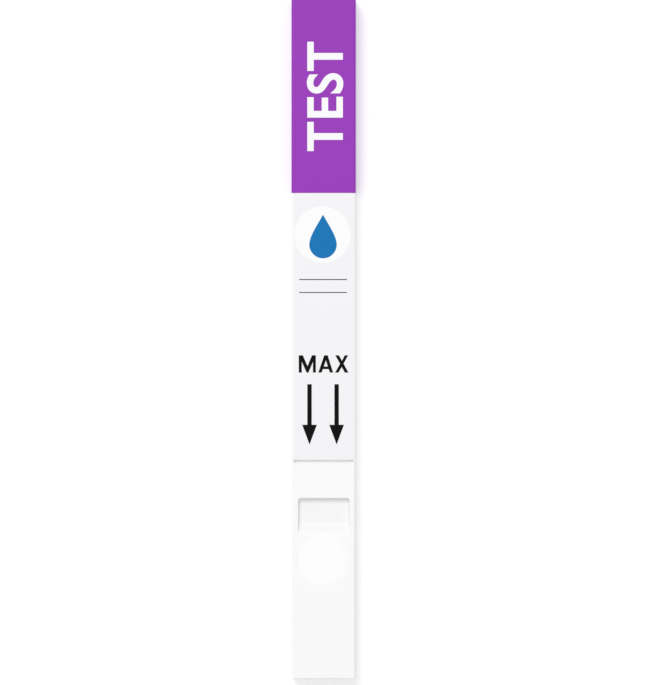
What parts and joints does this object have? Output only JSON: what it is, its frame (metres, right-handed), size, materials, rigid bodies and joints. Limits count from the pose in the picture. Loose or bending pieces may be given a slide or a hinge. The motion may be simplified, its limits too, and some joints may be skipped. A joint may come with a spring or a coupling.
{
  "type": "lateral flow cassette",
  "caption": "Slim dip-type lateral flow cassette: flat white housing with a purple handle sleeve, a pale label, an immersion-limit groove and a sample port that opens onto a wick.",
  "frame": {"origin": "centre of the bounding box's bottom face, on the flat back of the housing", "axes": "+Y along the length towards the handle end, +Z out of the printed front, +X across the width"},
  "size_m": [0.012, 0.1266, 0.004],
  "materials": {
    "housing_plastic": "fine satin, moulded",
    "sleeve_film": "satin, shrunk film",
    "label_film": "satin, printed film",
    "wick_fibre": "matt, compressed fibre",
    "card_plastic": "matt",
    "sample_fibre": "matt, glass fibre",
    "conjugate_fibre": "matt, dyed glass fibre",
    "membrane_film": "matt, porous",
    "absorbent_fibre": "matt, cotton paper"
  },
  "bodies": {
    "root": {"front_shell": "housing_plastic", "back_shell": "housing_plastic", "handle_sleeve": "sleeve_film", "front_label": "label_film", "wick": "wick_fibre", "backing_card": "card_plastic", "sample_pad": "sample_fibre", "conjugate_pad": "conjugate_fibre", "membrane": "membrane_film", "absorbent_pad": "absorbent_fibre"}
  },
  "joints": []
}
